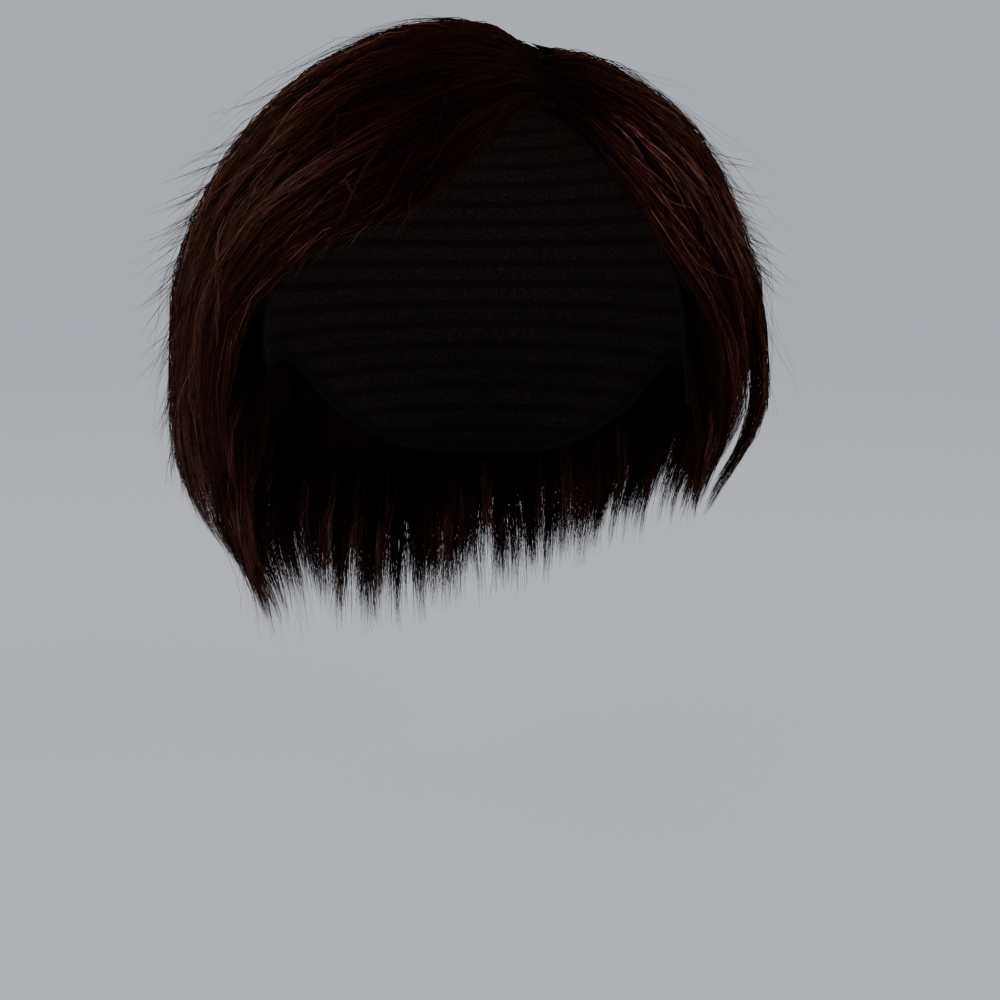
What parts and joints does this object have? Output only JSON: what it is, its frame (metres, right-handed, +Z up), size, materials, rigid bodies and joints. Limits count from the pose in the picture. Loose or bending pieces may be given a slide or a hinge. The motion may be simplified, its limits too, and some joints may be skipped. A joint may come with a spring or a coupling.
{
  "type": "pixie cut wig",
  "caption": "Short dark brown pixie cut wig with a deep side parting, a fringe swept across the forehead, layered sides and a hollow net cap.",
  "frame": {"origin": "inside of the cap at the top of the crown, where the wig sits on the head", "axes": "+Z up, -Y out through the face opening, +X towards the wearer's left"},
  "size_m": [0.2148, 0.1999, 0.2322],
  "materials": {
    "hair": "satin",
    "cap_net": "matte"
  },
  "bodies": {
    "root": {"cap": "cap_net", "fringe_hair": "hair", "back_hair": "hair", "left_front_hair": "hair", "right_side_hair": "hair", "nape_hair": "hair", "left_side_hair": "hair"}
  },
  "joints": []
}
